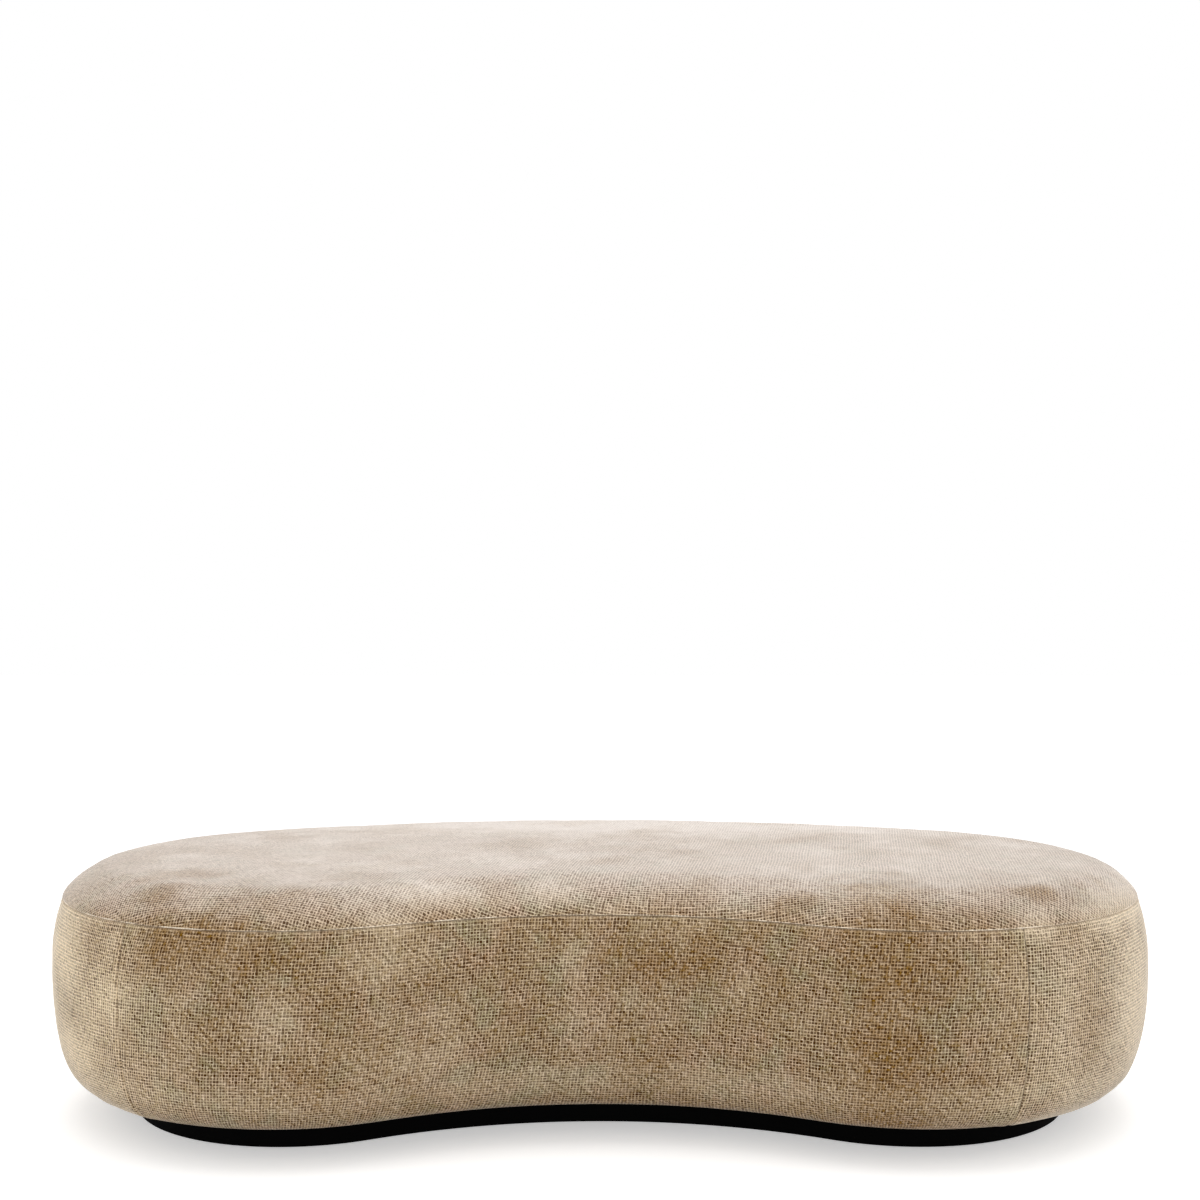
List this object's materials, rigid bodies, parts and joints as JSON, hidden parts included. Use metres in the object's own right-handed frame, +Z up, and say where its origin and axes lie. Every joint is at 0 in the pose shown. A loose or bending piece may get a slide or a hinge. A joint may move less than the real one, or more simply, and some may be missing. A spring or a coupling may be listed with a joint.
{
  "type": "sofa bench",
  "caption": "Kidney-shaped upholstered bench: domed seat panel, swelling fabric band, hollow front and rounded ends, on a recessed black plinth.",
  "frame": {"origin": "on the floor under the middle of the bounding box", "axes": "+X along the bench to its right end as seen from the hollow front, +Y from the hollow front to the back, +Z up"},
  "size_m": [1.8, 0.9399, 0.405],
  "materials": {
    "cover_fabric": "coarse woven chenille, light tan with dark brown gaps, mottled",
    "wadding": "soft white polyester wadding",
    "foam": "open-cell cream foam",
    "felt": "pressed grey felt",
    "webbing": "woven black webbing",
    "dust_cloth": "thin black non-woven cloth",
    "plywood": "raw birch plywood",
    "bent_ply": "raw bending plywood",
    "softwood": "raw planed softwood",
    "black_plinth": "matt black paint on plywood",
    "steel": "zinc-plated",
    "glide_plastic": "black nylon"
  },
  "bodies": {
    "root": {"floor_glides": "glide_plastic", "plinth_front_wall": "black_plinth", "plinth_back_wall": "black_plinth", "plinth_left_end": "black_plinth", "plinth_right_end": "black_plinth", "plinth_left_bearer": "softwood", "plinth_middle_bearer": "softwood", "plinth_right_bearer": "softwood", "plinth_joint_blocks": "softwood", "plinth_screws": "steel", "base_board": "plywood", "spine_board": "plywood", "cross_ribs": "plywood", "end_posts": "softwood", "rib_screws": "steel", "seat_front_rail": "plywood", "seat_back_rail": "plywood", "seat_left_rail": "plywood", "seat_right_rail": "plywood", "seat_rail_screws": "steel", "front_skin": "bent_ply", "back_skin": "bent_ply", "left_skin": "bent_ply", "right_skin": "bent_ply", "cross_webbing": "webbing", "long_webbing": "webbing", "webbing_staples": "steel", "insulator_felt": "felt", "seat_core_foam": "foam", "seat_comfort_foam": "foam", "front_side_foam": "foam", "back_side_foam": "foam", "left_side_foam": "foam", "right_side_foam": "foam", "top_wadding": "wadding", "front_side_wadding": "wadding", "back_side_wadding": "wadding", "cover_top_panel": "cover_fabric", "cover_front_band": "cover_fabric", "cover_back_band": "cover_fabric", "cover_left_band": "cover_fabric", "cover_right_band": "cover_fabric", "hem_staples": "steel", "dust_cover": "dust_cloth", "dust_cover_staples": "steel"}
  },
  "joints": []
}
